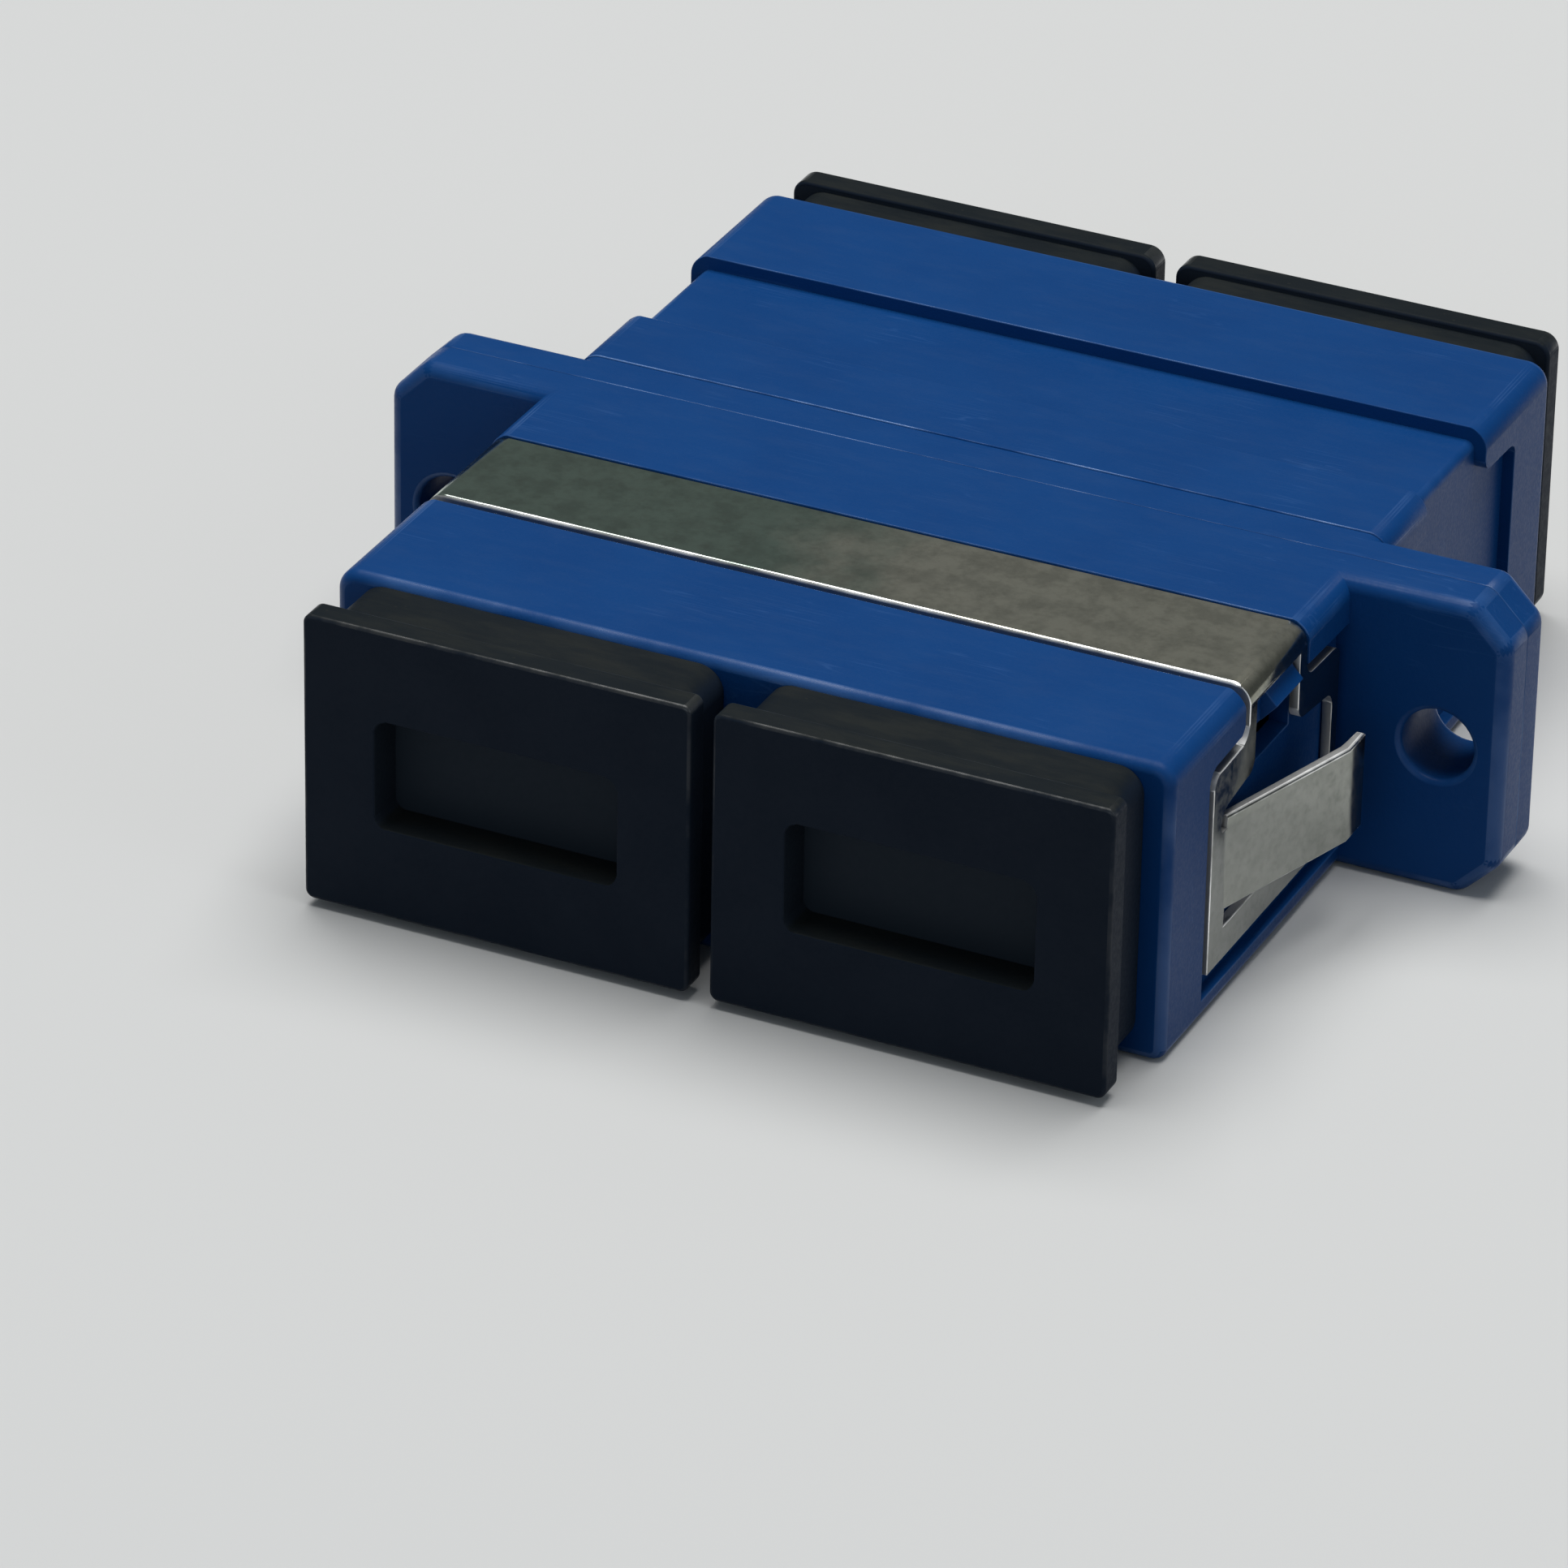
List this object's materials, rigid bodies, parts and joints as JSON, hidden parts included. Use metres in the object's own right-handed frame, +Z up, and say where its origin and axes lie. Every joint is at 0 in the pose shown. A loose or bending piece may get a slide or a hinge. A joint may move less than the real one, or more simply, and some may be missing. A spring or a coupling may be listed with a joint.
{
  "type": "fibre coupler",
  "caption": "Flanged duplex coupler for square push-pull fibre plugs, with a steel panel clip and black dust caps.",
  "frame": {"origin": "centre of the underside, in the middle of the flange", "axes": "X across the ports, Y from the front ports to the rear ports, Z up with the clip's strap on top"},
  "size_m": [0.0354, 0.0327, 0.0093],
  "materials": {
    "housing_plastic": "satin moulded blue",
    "holder_plastic": "satin moulded blue",
    "clip_steel": "rolled spring steel",
    "sleeve_ceramic": "ground white ceramic",
    "cap_rubber": "matt black soft moulding"
  },
  "bodies": {
    "coupler": {"front_housing": "housing_plastic", "rear_housing": "housing_plastic", "spring_clip": "clip_steel", "left_sleeve": "sleeve_ceramic", "front_left_holder": "holder_plastic", "rear_left_holder": "holder_plastic", "right_sleeve": "sleeve_ceramic", "front_right_holder": "holder_plastic", "rear_right_holder": "holder_plastic"},
    "front_left_cap": {"front_left_cap": "cap_rubber"},
    "rear_left_cap": {"rear_left_cap": "cap_rubber"},
    "front_right_cap": {"front_right_cap": "cap_rubber"},
    "rear_right_cap": {"rear_right_cap": "cap_rubber"}
  },
  "joints": [
    {"name": "front_left_cap_pull", "type": "slide", "parent": "coupler", "child": "front_left_cap", "axis": [0, -1, 0], "range_m": [0, 0.012]},
    {"name": "rear_left_cap_pull", "type": "slide", "parent": "coupler", "child": "rear_left_cap", "axis": [0, 1, 0], "range_m": [0, 0.012]},
    {"name": "front_right_cap_pull", "type": "slide", "parent": "coupler", "child": "front_right_cap", "axis": [0, -1, 0], "range_m": [0, 0.012]},
    {"name": "rear_right_cap_pull", "type": "slide", "parent": "coupler", "child": "rear_right_cap", "axis": [0, 1, 0], "range_m": [0, 0.012]}
  ]
}
